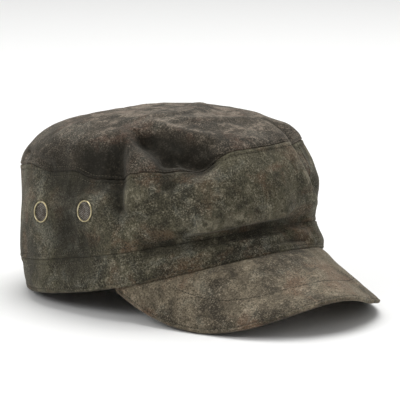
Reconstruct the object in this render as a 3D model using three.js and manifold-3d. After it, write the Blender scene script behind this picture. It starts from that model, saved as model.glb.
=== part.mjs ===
import * as THREE from 'three';
import Module from 'manifold-3d';

const wasm = await Module();
wasm.setup();
const { Manifold, Mesh } = wasm;

// An army cap of soft leather, standing as it rests on a table: on the back of its rim
// and on the two low corners of its peak. Sizes are in millimetres, angles in degrees.
// Angles run round the crown from the front centre, 0, toward the wearer's right, 90.
// Levels run up the crown: 0 the rim, 1 the lower seam, 2 the upper seam, 3 the middle of the top.

// Driving sizes
const CROWN = {
  halfLength: 97.5,
  halfWidth: 90.5,
  backSquareness: 0.05,
  rimSaddle: 4.3,
  rimFrontRise: 0.5,
  bandHeight: 19,
  bandFrontLoss: 1.1,
  wallHeight: 69.8,
  wallFrontLoss: 2,
  topHeight: 101.5,
  topFrontFall: 13.6,
};
const SHOULDER = {
  endDome: 2.2,
  endRound: 0.6,
  sideDome: 3,
  sideRound: 0.46,
};
const PEAK = {
  halfSpread: 66.7,
  length: 58.8,
  squareness: 5.3,
  roundness: 0.93,
  frontSlope: 26.5,
  extraSideSlope: 28.2,
  sideSlopePower: 2.3,
  curl: 5,
  curlAcross: -0.31,
  curlReach: 0.25,
  cornerCut: 0.985,
  rootTuck: 1.5,
  rootDrop: 0.4,
  puff: 1.4,
  puffReach: 0.2,
  edgeRound: 0.5,
};
const LEATHER = { top: 1.6, wall: 1.6, band: 1.8, peakSkin: 2 };
const GAP = 0.3;
const REST = { tilt: 11, rimLift: 3.7, press: 0.5 };
const WALL_SEAM_ANGLE = -36;
const VENT = {
  flangeRadius: 6.25,
  holeRadius: 5.9,
  barrelRadius: 5.55,
  boreRadius: 5.2,
  meshRadius: 4.95,
  flangeThickness: 0.9,
  meshThickness: 0.5,
  meshDepth: 1,
  clearance: 0.5,
  softening: 0.25,
  drillLength: 12,
};
const VENTS = [
  { side: 'right', end: 'front', angle: 74.5, level: 1.52 },
  { side: 'right', end: 'back', angle: 99, level: 1.55 },
  { side: 'left', end: 'front', angle: -74.5, level: 1.52 },
  { side: 'left', end: 'back', angle: -99, level: 1.55 },
];

// How far the crown stands outside its plan outline at each height up the wall
const SECTIONS = [
  { height: 0, front: 0, side: 0, back: 0 },
  { height: 6, front: 1.4, side: 1.1, back: 0.2 },
  { height: 14, front: -1.8, side: -0.5, back: -0.3 },
  { height: 20.5, front: -5.2, side: -0.5, back: 1.7 },
  { height: 32, front: -0.4, side: -0.5, back: -1 },
  { height: 50, front: 1.7, side: -1.7, back: -5.8 },
  { height: 73, front: -7.7, side: -9.6, back: -4.8 },
];

// Dents press the leather inward by their depth, ridges have a negative depth; drop is how far
// the leather sags, edge how steep the sides of a fold are, and by the point its line bows toward
const FOLD_DEFAULTS = { depth: 0, drop: 0, edge: 2 };
const FOLDS = [
  { name: 'flat side', from: [85, 1.05], to: [85, 1.85], halfWidth: 26, depth: 5 },
  { name: 'temple sag', from: [69, 2], to: [29, 2], halfWidth: 15, drop: 7, edge: 2.5 },
  { name: 'temple crease', from: [60, 2.33], to: [60, 1.5], halfWidth: 6, depth: 5.5 },
  { name: 'temple panel', from: [50, 2.28], to: [51, 1.6], halfWidth: 7, depth: -2.2 },
  { name: 'front pocket', from: [45, 2.42], to: [27, 2.2], halfWidth: 11, depth: 8, edge: 3 },
  { name: 'pocket tail', from: [42, 2.2], to: [42, 1.72], halfWidth: 6, depth: 3 },
  { name: 'back hollow', from: [76, 2.26], to: [64, 2.1], halfWidth: 7, depth: 3.5 },
  { name: 'back corner crease', from: [119, 2.16], to: [98, 2.05], halfWidth: 6, depth: 3 },
  { name: 'back corner rise', from: [135, 2], to: [112, 2], halfWidth: 14, drop: -6 },
  { name: 'lower tuck', from: [52, 1], to: [-24, 1.02], halfWidth: 6, depth: 4 },
  { name: 'overhang', from: [34, 1.18], to: [-6, 1.18], halfWidth: 8, depth: -2.8, drop: 1.5 },
  { name: 'band pinch', from: [25, 0.42], to: [-24, 0.45], halfWidth: 5, depth: 2.5 },
  { name: 'front ridge', from: [-21, 2.45], by: [-11, 1.71], to: [-29, 1.28], halfWidth: 7, depth: -3 },
  { name: 'front valley', from: [-30, 2.4], by: [-20, 1.75], to: [-34, 1.4], halfWidth: 7, depth: 6.5 },
  { name: 'far bulge', from: [-44, 2.25], to: [-46, 1.5], halfWidth: 8, depth: -2.4 },
  { name: 'long top fold', from: [46, 2.71], to: [-66, 2.85], halfWidth: 9, depth: -1.5 },
  { name: 'short top fold', from: [20, 2.62], to: [-26, 2.47], halfWidth: 8, depth: -1.5 },
  { name: 'top hollow', from: [150, 2.8], to: [70, 2.75], halfWidth: 24, depth: 0.6 },
].map((fold) => ({ ...FOLD_DEFAULTS, ...fold }));

// How finely the leather is faceted
const STEPS = { round: 76, band: 4, wall: 8, peakAcross: 32, peakOut: 7, foldPath: 10, vent: 24 };
const TOP_RINGS = [0, 0.08, 0.18, 0.3, 0.42, 0.55, 0.68, 0.8];
const TOP_COARSE_RINGS = [0.9, 0.97];

// How far the start of the top piece would reach if it went on as it begins
const TOP_REACH = 40;

// Steps in angle and level over which the way out of the leather is measured, and the levels
// near the middle of the top that it is measured at instead of the middle itself
const DIFFERENCE = { angle: 0.4, fine: 0.012, broad: 0.12 };
const NEAR_MIDDLE = { low: 2.97, at: 2.98, high: 2.99 };

const radians = THREE.MathUtils.degToRad;
const { clamp, lerp } = THREE.MathUtils;
const signedPower = (value, power) => Math.sign(value) * Math.abs(value) ** power;

function ease(value) {
  const part = clamp(value, 0, 1);
  return part * part * (3 - 2 * part);
}

// Smooth curve through the rows of a table
function tableValue(rows, key, column, at) {
  const last = rows.length - 1;
  let row = 0;
  while (row < last - 1 && at > rows[row + 1][key]) row += 1;
  const slope = (index) => {
    const before = rows[Math.max(index - 1, 0)];
    const after = rows[Math.min(index + 1, last)];
    return (after[column] - before[column]) / (after[key] - before[key]);
  };
  const [low, high] = [rows[row], rows[row + 1]];
  const span = high[key] - low[key];
  const part = clamp((at - low[key]) / span, 0, 1);
  const square = part * part;
  const cube = square * part;
  return (2 * cube - 3 * square + 1) * low[column]
    + (cube - 2 * square + part) * span * slope(row)
    + (3 * square - 2 * cube) * high[column]
    + (cube - square) * span * slope(row + 1);
}

// Plan outline of the rim: forward and toward the wearer's right
function outline(angle) {
  const [ahead, aside] = [Math.cos(radians(angle)), Math.sin(radians(angle))];
  const exponent = 2 + CROWN.backSquareness * ease(-1.3 * ahead);
  return new THREE.Vector2(
    CROWN.halfLength * signedPower(ahead, 2 / exponent),
    CROWN.halfWidth * signedPower(aside, 2 / exponent),
  );
}

function outlineOutward(angle) {
  const along = outline(angle + 0.05).sub(outline(angle - 0.05)).normalize();
  return new THREE.Vector2(along.y, -along.x);
}

// Share of the front, side and back columns of the sections at an angle
function shares(angle) {
  const ahead = Math.cos(radians(angle));
  const front = ahead > 0 ? ahead * ahead : 0;
  const back = ahead < 0 ? ahead * ahead : 0;
  return { front, back, side: 1 - front - back };
}

function bandHeightAt(angle) {
  return CROWN.bandHeight - CROWN.bandFrontLoss * ease((Math.cos(radians(angle)) + 0.25) / 1.25);
}

function wallHeightAt(angle) {
  const ahead = Math.cos(radians(angle));
  return CROWN.wallHeight - CROWN.wallFrontLoss * ease(ahead);
}

// The crown without its folds, in the cap's own frame: forward, right, up from the rim
function plainCrown(angle, level) {
  const onBand = clamp(level, 0, 1);
  const onWall = clamp(level - 1, 0, 1);
  const onTop = clamp(level - 2, 0, 1);
  const band = bandHeightAt(angle);
  const wall = wallHeightAt(angle);
  const nominal = CROWN.bandHeight * onBand + (CROWN.wallHeight - CROWN.bandHeight) * onWall;
  const share = shares(angle);
  let outset = 0;
  for (const way of ['front', 'side', 'back']) {
    outset += share[way] * tableValue(SECTIONS, 'height', way, nominal);
  }
  const plan = outline(angle).addScaledVector(outlineOutward(angle), outset);
  let height = band * onBand + (wall - band) * onWall;
  if (onTop > 0) {
    const turn = onTop * Math.PI / 2;
    const sideways = Math.abs(Math.abs(THREE.MathUtils.euclideanModulo(angle + 180, 360) - 180) - 90);
    const atSide = ease(1 - sideways / 90);
    const dome = lerp(SHOULDER.endDome, SHOULDER.sideDome, atSide);
    const round = lerp(SHOULDER.endRound, SHOULDER.sideRound, atSide);
    plan.multiplyScalar(Math.max(Math.cos(turn), 0) ** (2 / dome));
    const top = CROWN.topHeight - CROWN.topFrontFall * plan.x / CROWN.halfLength;
    height = wall + (top - wall) * Math.sin(turn) ** (2 * round);
  }
  const saddle = CROWN.rimSaddle * Math.cos(radians(2 * angle))
    + CROWN.rimFrontRise * Math.cos(radians(3 * angle));
  height += saddle * clamp(1 - level / 2, 0, 1);
  return new THREE.Vector3(plan.x, plan.y, height);
}

// Outward direction of a surface given by a function of angle and level
function outwardOf(surface, angle, level, levelStep) {
  const low = clamp(level - levelStep, 0, NEAR_MIDDLE.low);
  const high = Math.min(level + levelStep, NEAR_MIDDLE.high);
  const { angle: step } = DIFFERENCE;
  const round = surface(angle + step, level).sub(surface(angle - step, level));
  const up = surface(angle, high).sub(surface(angle, low));
  return round.cross(up).normalize();
}

const foldPaths = FOLDS.map((fold) => {
  const [from, to] = [new THREE.Vector2(...fold.from), new THREE.Vector2(...fold.to)];
  const by = fold.by ? new THREE.Vector2(...fold.by) : from.clone().lerp(to, 0.5);
  const line = new THREE.QuadraticBezierCurve(from, by, to).getPoints(STEPS.foldPath);
  return line.map(({ x: angle, y: level }) => plainCrown(angle, level));
});

function distanceToPath(point, path) {
  const piece = new THREE.Line3();
  const nearest = new THREE.Vector3();
  let least = Infinity;
  for (let step = 1; step < path.length; step += 1) {
    piece.set(path[step - 1], path[step]).closestPointToPoint(point, true, nearest);
    least = Math.min(least, nearest.distanceTo(point));
  }
  return least;
}

// The crown with its folds
function crown(angle, level) {
  const point = plainCrown(angle, level);
  const outward = outwardOf(plainCrown, angle, Math.min(level, NEAR_MIDDLE.at), DIFFERENCE.broad);
  let inward = 0;
  let down = 0;
  FOLDS.forEach((fold, index) => {
    const reach = distanceToPath(point, foldPaths[index]) / fold.halfWidth;
    const share = Math.exp(-(reach ** fold.edge));
    inward += fold.depth * share;
    down += fold.drop * share;
  });
  point.addScaledVector(outward, -inward);
  point.z -= down;
  return point;
}

// The peak's outer face: across from -1 to 1, out from the rim 0 to the edge 1, and how deep under it
function peak(across, out, depth) {
  const spread = across * PEAK.cornerCut;
  const angle = spread * PEAK.halfSpread;
  const reach = (1 - Math.abs(spread) ** PEAK.squareness) ** (1 / PEAK.roundness);
  const slope = radians(PEAK.frontSlope + PEAK.extraSideSlope * Math.abs(spread) ** PEAK.sideSlopePower);
  const curl = PEAK.curl * Math.exp(-(((spread - PEAK.curlAcross) / PEAK.curlReach) ** 2)) * out * out;
  const root = crown(angle, 0).addScaledVector(outwardOf(crown, angle, 0, DIFFERENCE.fine), -PEAK.rootTuck);
  const run = (PEAK.length * reach + PEAK.rootTuck) * out;
  const lift = PEAK.puff * ease(out / PEAK.puffReach) - PEAK.rootDrop - curl;
  return new THREE.Vector3(
    root.x + run * Math.cos(slope) + (lift - depth) * Math.sin(slope),
    root.y,
    root.z - run * Math.sin(slope) + (lift - depth) * Math.cos(slope),
  );
}

// From the cap's own frame to the part's: x to the wearer's left, y back, z up, tilted as it rests
function place(point) {
  const tilt = radians(REST.tilt);
  const ahead = point.x + CROWN.halfLength;
  return new THREE.Vector3(
    -point.y,
    CROWN.halfLength - (ahead * Math.cos(tilt) - point.z * Math.sin(tilt)),
    ahead * Math.sin(tilt) + point.z * Math.cos(tilt),
  );
}

// Triangles of a closed shell from two matching sets of rings, an outer and an inner one
function shell(outer, inner, closedRound) {
  const points = [];
  const faces = [];
  const starts = (rings) => rings.map((ring) => {
    const start = points.length;
    points.push(...ring);
    return { start, count: ring.length };
  });
  const skins = [starts(inner), starts(outer)];
  const addFace = (flip, a, b, c) => faces.push(flip ? [a, c, b] : [a, b, c]);
  skins.forEach((rings, side) => {
    const flip = side === 1;
    for (let row = 0; row < rings.length - 1; row += 1) {
      const [low, high] = [rings[row], rings[row + 1]];
      const steps = closedRound ? low.count : low.count - 1;
      for (let step = 0; step < steps; step += 1) {
        const a = low.start + step;
        const b = low.start + (step + 1) % low.count;
        if (high.count === 1) {
          addFace(flip, a, b, high.start);
        } else if (high.count === low.count) {
          const d = high.start + step;
          const c = high.start + (step + 1) % high.count;
          addFace(flip, a, b, c);
          addFace(flip, a, c, d);
        } else {
          const half = Math.floor(step / 2);
          const d = high.start + half;
          const c = high.start + (half + 1) % high.count;
          if (step % 2 === 0) {
            addFace(flip, a, b, d);
          } else {
            addFace(flip, a, b, c);
            addFace(flip, a, c, d);
          }
        }
      }
    }
  });
  const joinEdge = (outerRing, innerRing, flip) => {
    const steps = closedRound ? outerRing.count : outerRing.count - 1;
    for (let step = 0; step < steps; step += 1) {
      const next = (step + 1) % outerRing.count;
      const [a, b] = [outerRing.start + step, outerRing.start + next];
      const [d, c] = [innerRing.start + step, innerRing.start + next];
      addFace(flip, a, c, b);
      addFace(flip, a, d, c);
    }
  };
  joinEdge(skins[0][0], skins[1][0], false);
  const last = outer.length - 1;
  if (outer[last].length > 1) joinEdge(skins[0][last], skins[1][last], true);
  if (!closedRound) {
    for (let row = 0; row < last; row += 1) {
      for (const end of [0, skins[0][row].count - 1]) {
        const [a, b] = [skins[0][row].start + end, skins[0][row + 1].start + end];
        const [d, c] = [skins[1][row].start + end, skins[1][row + 1].start + end];
        addFace(end !== 0, a, b, c);
        addFace(end !== 0, a, c, d);
      }
    }
  }
  return toGeometry(points, faces);
}

function toGeometry(points, faces) {
  const positions = points.flatMap((point) => [point.x, point.y, point.z]);
  const geometry = new THREE.BufferGeometry();
  geometry.setAttribute('position', new THREE.Float32BufferAttribute(positions, 3));
  geometry.setIndex(faces.flat());
  return geometry;
}

// Both edges of a seam face the same way, so the gap between them stays even
function seamLevel(level) {
  const seam = Math.round(level);
  return Math.abs(level - seam) < 0.01 ? seam : level;
}

// Rings of points on the outer and inner face of a leather piece of the crown. Every piece
// has its corners at the same angles, and a strip with two ends stops half a slit short of them
function crownRings(levels, counts, thickness, halfSlit) {
  const rings = { outer: [], inner: [] };
  levels.forEach((level, row) => {
    const count = counts[row];
    const steps = halfSlit > 0 ? count - 1 : count;
    const outer = [];
    const inner = [];
    for (let step = 0; step < count; step += 1) {
      const angle = WALL_SEAM_ANGLE + clamp(360 * step / steps, halfSlit, 360 - halfSlit);
      const point = crown(angle, level);
      const outwardLevel = Math.min(seamLevel(level), NEAR_MIDDLE.low);
      const outward = outwardOf(crown, angle, outwardLevel, DIFFERENCE.fine);
      if (count === 1) outward.set(0, 0, 1);
      outer.push(settle(place(point)));
      inner.push(settle(place(point.clone().addScaledVector(outward, -thickness))));
    }
    rings.outer.push(outer);
    rings.inner.push(inner);
  });
  return rings;
}

// Leather pressed flat where it touches the table
function settle(point) {
  point.z = Math.max(point.z - REST.rimLift - REST.press, 0);
  return point;
}

function evenLevels(from, to, steps) {
  return Array.from({ length: steps + 1 }, (_, step) => lerp(from, to, step / steps));
}

const levelGap = {
  band: GAP / 2 / CROWN.bandHeight,
  wall: GAP / 2 / (CROWN.wallHeight - CROWN.bandHeight),
  top: GAP / 2 / TOP_REACH,
};

function buildBand() {
  const levels = evenLevels(0, 1 - levelGap.band, STEPS.band);
  const counts = levels.map(() => STEPS.round);
  const rings = crownRings(levels, counts, LEATHER.band, 0);
  return shell(rings.outer, rings.inner, true);
}

function buildWall() {
  const levels = evenLevels(1 + levelGap.wall, 2 - levelGap.wall, STEPS.wall);
  const counts = levels.map(() => STEPS.round + 1);
  const halfSlit = THREE.MathUtils.radToDeg(GAP / 2 / CROWN.halfLength);
  const rings = crownRings(levels, counts, LEATHER.wall, halfSlit);
  return shell(rings.outer, rings.inner, false);
}

function buildTop() {
  const fine = TOP_RINGS.map((part) => 2 + levelGap.top + part * (1 - levelGap.top));
  const coarse = TOP_COARSE_RINGS.map((part) => 2 + part);
  const levels = [...fine, ...coarse, 3];
  const counts = [...fine.map(() => STEPS.round), ...coarse.map(() => STEPS.round / 2), 1];
  const rings = crownRings(levels, counts, LEATHER.top, 0);
  return shell(rings.outer, rings.inner, true);
}

function buildPeakSkin(depth, roundsTop) {
  const outer = [];
  const inner = [];
  for (let row = 0; row <= STEPS.peakOut; row += 1) {
    const out = Math.sin(row / STEPS.peakOut * Math.PI / 2);
    const outerRing = [];
    const innerRing = [];
    const cut = row === STEPS.peakOut ? PEAK.edgeRound : 0;
    for (let step = 0; step <= STEPS.peakAcross; step += 1) {
      const across = -Math.sin((step / STEPS.peakAcross - 0.5) * Math.PI);
      const [above, below] = roundsTop ? [cut, 0] : [0, cut];
      outerRing.push(settle(place(peak(across, out, depth + above))));
      innerRing.push(settle(place(peak(across, out, depth + LEATHER.peakSkin - below))));
    }
    outer.push(outerRing);
    inner.push(innerRing);
  }
  return shell(outer, inner, false);
}

function toManifold(geometry) {
  return new Manifold(new Mesh({
    numProp: 3,
    vertProperties: Float32Array.from(geometry.getAttribute('position').array),
    triVerts: Uint32Array.from(geometry.index.array),
  }));
}

function fromManifold(solid) {
  const mesh = solid.getMesh();
  const geometry = new THREE.BufferGeometry();
  const positions = [];
  for (let vertex = 0; vertex < mesh.numVert; vertex += 1) {
    const start = vertex * mesh.numProp;
    positions.push(...mesh.vertProperties.slice(start, start + 3));
  }
  geometry.setAttribute('position', new THREE.Float32BufferAttribute(positions, 3));
  geometry.setIndex(Array.from(mesh.triVerts));
  return geometry;
}

// A turned solid about the z axis from a closed outline of radius and height
function turned(outlinePoints) {
  const points = outlinePoints.map(([radius, height]) => new THREE.Vector2(radius, height));
  points.push(points[0].clone());
  const geometry = new THREE.LatheGeometry(points, STEPS.vent);
  geometry.rotateX(Math.PI / 2);
  return geometry;
}

// Weld the doubled corners of a library geometry and drop flattened triangles
function welded(geometry) {
  const position = geometry.getAttribute('position');
  const seen = new Map();
  const points = [];
  const numbers = [];
  const corner = new THREE.Vector3();
  for (let index = 0; index < position.count; index += 1) {
    corner.fromBufferAttribute(position, index);
    const key = corner.toArray().map((value) => Math.round(value * 1e4)).join(' ');
    if (!seen.has(key)) {
      seen.set(key, points.length);
      points.push(corner.clone());
    }
    numbers.push(seen.get(key));
  }
  const order = geometry.index ? Array.from(geometry.index.array) : numbers.map((_, index) => index);
  const faces = [];
  for (let start = 0; start < order.length; start += 3) {
    const face = [0, 1, 2].map((turn) => numbers[order[start + turn]]);
    if (new Set(face).size === 3) faces.push(face);
  }
  return toGeometry(points, faces);
}

// Where a vent sits: its own z axis stands out of the wall
function ventPlace(vent) {
  const centre = crown(vent.angle, vent.level);
  const outward = outwardOf(crown, vent.angle, vent.level, DIFFERENCE.broad);
  const tip = place(centre.clone().add(outward));
  const seat = place(centre);
  seat.z -= REST.rimLift + REST.press;
  tip.z -= REST.rimLift + REST.press;
  const turn = new THREE.Quaternion().setFromUnitVectors(
    new THREE.Vector3(0, 0, 1),
    tip.sub(seat).normalize(),
  );
  return new THREE.Matrix4().compose(seat, turn, new THREE.Vector3(1, 1, 1));
}

function buildRing() {
  const seat = VENT.clearance;
  const rim = seat + VENT.flangeThickness;
  const foot = -LEATHER.wall - GAP;
  const { softening } = VENT;
  return welded(turned([
    [VENT.boreRadius, foot],
    [VENT.barrelRadius, foot],
    [VENT.barrelRadius, seat],
    [VENT.flangeRadius, seat],
    [VENT.flangeRadius, rim - softening],
    [VENT.flangeRadius - softening, rim],
    [VENT.boreRadius + softening, rim],
    [VENT.boreRadius, rim - softening],
  ]));
}

function buildMesh() {
  const disc = new THREE.CylinderGeometry(
    VENT.meshRadius, VENT.meshRadius, VENT.meshThickness, STEPS.vent,
  );
  disc.rotateX(Math.PI / 2);
  disc.translate(0, 0, VENT.clearance + VENT.flangeThickness - VENT.meshDepth);
  return welded(disc);
}

// Wall with a hole cut for each vent
function cutWall(wall) {
  let solid = toManifold(wall);
  for (const vent of VENTS) {
    const drill = new THREE.CylinderGeometry(
      VENT.holeRadius, VENT.holeRadius, VENT.drillLength, STEPS.vent,
    );
    drill.rotateX(Math.PI / 2);
    drill.applyMatrix4(ventPlace(vent));
    solid = solid.subtract(toManifold(welded(drill)));
  }
  return fromManifold(solid);
}

// Finishes, close to the colours of the real leather and brass
const FINISH = {
  top: { color: 0x7a6c60, roughness: 0.9, metalness: 0 },
  wall: { color: 0x4d493d, roughness: 0.9, metalness: 0 },
  band: { color: 0x45433a, roughness: 0.9, metalness: 0 },
  peak: { color: 0x5c5446, roughness: 0.9, metalness: 0 },
  underside: { color: 0x4f4a3f, roughness: 0.9, metalness: 0 },
  brass: { color: 0xb5a377, roughness: 0.4, metalness: 1 },
  mesh: { color: 0x6f6858, roughness: 0.5, metalness: 1 },
};

const group = new THREE.Group();
group.name = 'army_cap';

function addPiece(name, geometry, finish) {
  const flat = geometry.toNonIndexed();
  flat.computeVertexNormals();
  const piece = new THREE.Mesh(flat, new THREE.MeshStandardMaterial(finish));
  piece.name = name;
  group.add(piece);
}

addPiece('crown_top', buildTop(), FINISH.top);
addPiece('crown_wall', cutWall(buildWall()), FINISH.wall);
addPiece('head_band', buildBand(), FINISH.band);
addPiece('peak_top', buildPeakSkin(0, true), FINISH.peak);
addPiece('peak_underside', buildPeakSkin(LEATHER.peakSkin + GAP, false), FINISH.underside);
for (const vent of VENTS) {
  const spot = `${vent.side}_${vent.end}`;
  addPiece(`vent_ring_${spot}`, buildRing().applyMatrix4(ventPlace(vent)), FINISH.brass);
  addPiece(`vent_mesh_${spot}`, buildMesh().applyMatrix4(ventPlace(vent)), FINISH.mesh);
}

// Origin: the middle of the footprint, on the table
const box = new THREE.Box3().setFromObject(group);
const middle = box.getCenter(new THREE.Vector3());
for (const piece of group.children) piece.geometry.translate(-middle.x, -middle.y, -box.min.z);

export default group;
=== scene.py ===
# An army cap of weathered leather, resting on a pale floor.

import math
from contextlib import contextmanager

import bpy
import numpy as np
from mathutils import Matrix, Vector
from mathutils.kdtree import KDTree


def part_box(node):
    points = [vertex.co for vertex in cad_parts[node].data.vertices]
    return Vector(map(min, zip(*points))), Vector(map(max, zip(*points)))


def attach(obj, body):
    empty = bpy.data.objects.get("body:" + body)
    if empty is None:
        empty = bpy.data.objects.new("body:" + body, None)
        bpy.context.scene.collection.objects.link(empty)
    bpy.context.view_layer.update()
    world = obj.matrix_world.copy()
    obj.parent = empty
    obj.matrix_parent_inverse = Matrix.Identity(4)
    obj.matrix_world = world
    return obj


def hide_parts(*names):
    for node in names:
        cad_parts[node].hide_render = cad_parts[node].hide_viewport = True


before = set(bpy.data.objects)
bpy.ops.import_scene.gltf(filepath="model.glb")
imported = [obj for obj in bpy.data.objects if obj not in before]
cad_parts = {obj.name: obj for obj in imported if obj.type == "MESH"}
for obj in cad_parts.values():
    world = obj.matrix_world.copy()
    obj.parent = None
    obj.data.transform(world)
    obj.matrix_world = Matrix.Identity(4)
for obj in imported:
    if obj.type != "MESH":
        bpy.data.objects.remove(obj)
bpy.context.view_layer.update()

MM = 0.001

# Driving sizes, in millimetres and degrees. Angles run round the crown from the front centre, 0,
# toward the wearer's right, 90. Levels run up it: 0 the rim, 1 the lower seam, 2 the upper seam,
# 3 the middle of the top.
CROWN = {
    "half_length": 97.5,
    "half_width": 90.5,
    "back_squareness": 0.05,
    "back_spread": 1.3,
    "rim_saddle": 4.3,
    "rim_front_rise": 0.5,
    "band_height": 19.0,
    "band_front_loss": 1.1,
    "band_loss_from": -0.25,
    "wall_height": 69.8,
    "wall_front_loss": 2.0,
    "wall_radius": 92.0,
    "top_height": 101.5,
    "top_front_fall": 13.6,
}
BAND_TALL = CROWN["band_height"]
WALL_TALL = CROWN["wall_height"] - CROWN["band_height"]
WALL_GIRTH = 2 * math.pi * CROWN["wall_radius"]
TOP_REACH = 40
SHOULDER = {"end_dome": 2.2, "end_round": 0.6, "side_dome": 3.0, "side_round": 0.46}
PEAK = {
    "half_spread": 66.7,
    "length": 58.8,
    "squareness": 5.3,
    "roundness": 0.93,
    "front_slope": 26.5,
    "extra_side_slope": 28.2,
    "side_slope_power": 2.3,
    "curl": 5.0,
    "curl_across": -0.31,
    "curl_reach": 0.25,
    "corner_cut": 0.985,
    "root_tuck": 2.6,
    "root_drop": 0.1,
    "fall_gain": 1.025,
    "puff": 1.1,
    "puff_reach": 0.2,
}
LEATHER = {"top": 1.6, "wall": 1.6, "band": 1.8, "peak": 1.2}
PEAK_EDGE = dict(thickness=2.7, skin_gap=0.15, skived=0.2, skived_width=2.6, steady=0.93)
PEAK_EDGE_SUNK = {"middle": 1.45, "at_side": 1.3, "from": 0.35}
SEAM_GAP = 0.1
EDGE_ROLL = 0.5
HEM_ROLL = 0.9
REST = {"tilt": 11.0, "rim_lift": 3.7, "press": 0.5}
WALL_SEAM_ANGLE = -36.0
VENTS = [
    {"spot": "right_front", "angle": 74.5, "level": 1.52},
    {"spot": "right_back", "angle": 99.0, "level": 1.55},
    {"spot": "left_front", "angle": -74.5, "level": 1.52},
    {"spot": "left_back", "angle": -99.0, "level": 1.55},
]
VENT = dict(hole=6.05, outside=6.5, inside=5.65, mesh=5.8, ring_rise=0.35, ring_fullness=1.15)
VENT_SEAT = {"radius": 7.2, "blend": 11.5, "depth": 12, "dimple": 0.35}
PUNCH = {"depth": 14, "sides": 48}
WIRE = dict(spacing=1.1, width=0.5, cross_width=0.26, slant=36, sunk=0.3, weave=0.12, steps=3)

# How far the crown stands outside its plan outline at each height up the wall
SECTIONS = {
    "height": [0, 6, 14, 20.5, 32, 50, 73],
    "front": [0, 1.4, -1.8, -5.2, -0.4, 1.7, -7.7],
    "side": [0, 1.1, -0.5, -0.5, -0.5, -1.7, -9.6],
    "back": [0, 0.2, -0.3, 1.7, -1.0, -5.8, -4.8],
}


def fold(start, end, left, right, depth=0, drop=0, edge=2, by=None):
    """A fold from its start to its end, both given as angle and level.

    Dents and creases have a positive depth, ridges a negative one. Left and right are the widths
    on either hand of someone who walks the fold from its start, outside. A fold sags by its drop,
    its sides are as steep as its edge, and it bows toward by.
    """
    if by is None:
        by = [(first + last) / 2 for first, last in zip(start, end)]
    return {
        "line": np.array([start, by, end], float),
        "widths": (float(left), float(right)),
        "depth": depth,
        "drop": drop,
        "edge": edge,
    }


FOLDS = {
    "flat side": fold((85, 1.05), (85, 1.85), 26, 26, depth=5),
    "temple sag": fold((69, 2), (29, 2), 15, 15, drop=7, edge=2.5),
    "temple crease": fold((60, 2.33), (60, 1.5), 4, 8, depth=6),
    "crease lip": fold((54.5, 2.2), (55, 1.5), 2.5, 2, depth=-1.2),
    "temple panel": fold((50, 2.28), (51, 1.6), 8, 6, depth=-2.2),
    "front pocket": fold((45, 2.44), (27, 2.22), 9, 12, depth=7, edge=3),
    "pocket back lobe": fold((47.5, 2.45), (39, 2.27), 4.5, 7, depth=4, edge=3),
    "pocket front lobe": fold((31, 2.24), (24, 2.1), 4, 7, depth=4, edge=3),
    "pocket brow": fold((46, 2.62), (22, 2.34), 6, 3.5, depth=-1.6),
    "pocket tail": fold((42, 2.2), (42, 1.72), 7, 3, depth=3),
    "back hollow": fold((76, 2.26), (64, 2.1), 6, 8, depth=3.5),
    "back corner crease": fold((119, 2.16), (98, 2.05), 5, 6, depth=3),
    "lower tuck": fold((52, 1), (-24, 1.02), 4.5, 5, depth=4.6),
    "overhang": fold((34, 1.17), (-6, 1.17), 10, 4.5, depth=-3, drop=2),
    "band pinch": fold((25, 0.42), (-24, 0.45), 3.5, 4, depth=2.8),
    "back corner rise": fold((135, 2), (112, 2), 14, 14, drop=-6),
    "front ridge": fold((-21, 2.4), (-29, 1.28), 3.2, 11, by=(-11, 1.71), depth=-3.6),
    "front valley": fold((-30, 2.34), (-34, 1.4), 9, 4.8, by=(-20, 1.75), depth=7.5),
    "band front ridge": fold((-12, 0.8), (-23, 0.38), 3, 3.5, depth=-2.2),
    "band front dent": fold((-6, 0.62), (-18, 0.3), 3.5, 4, depth=2),
    "far bulge": fold((-44, 2.25), (-46, 1.5), 9, 7, depth=-2.4),
    "long top fold": fold((46, 2.71), (-66, 2.85), 9, 4, depth=-1.8),
    "short top fold": fold((20, 2.62), (-14, 2.53), 8, 4, depth=-1.5),
    "top hollow": fold((150, 2.8), (70, 2.75), 24, 24, depth=0.6),
}
FOLD_STEPS = 10

# How the way out of the leather is measured: steps in angle and level, and the highest levels
# used near the middle of the top, where angles meet
DIFFERENCE = {"outline": 0.05, "angle": 0.4, "fine": 0.012, "broad": 0.12}
HIGHEST = {"level": 2.98, "below": 2.97, "above": 2.99}

# How finely the leather is divided: rows and columns, and the closer rows beside a seam
BAND_ROWS, WALL_ROWS, TOP_ROWS, COLUMNS = 34, 62, 84, 480
PEAK_COLUMNS, PEAK_ROWS, PEAK_EDGE_STEPS, PEAK_ROOT_STEPS = 240, 64, 4000, 240
BESIDE_SEAM = {"edges": 4.2, "close": 0.35}
BESIDE_PEAK_EDGE = {"edges": 5, "close": 0.36}
PEAK_CLOSENESS = 0.88
TOP_LEVEL_STEPS = 800
STITCH_PATH_STEPS = 900
WAY_STEP = 0.3
WALL_SEAM_STITCHED = {"from": 1.09, "to": 1.9, "steps": 60}
RING_SIDES, RING_STEPS, WIRE_SIDES = 12, 64, 6
SHARP_ANGLE = {"leather": 50, "wire": 60}
WELD = {"leather": 0.01, "ring": 0.005}

# Wrinkles: length and height of each sort in millimetres, with how many waves make it up, and
# the levels over which they grow
CRUMPLE = {
    "bend": dict(seeds=(11, 12, 13), count=5, length=34, height=4),
    "broad": dict(seed=21, count=7, length=46, height=0.55),
    "creased": dict(seed=31, count=6, length=30, height=0.5, middle=0.35),
    "fine": dict(seed=41, count=8, length=11, height=0.12),
}
CRUMPLE_GROWTH = {"at_rim": 0.3, "over": 0.6}
PEAK_LUMPS = [
    dict(seed=51, count=7, length=40, height=0.4),
    dict(seed=52, count=7, length=12, height=0.08),
]

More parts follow.
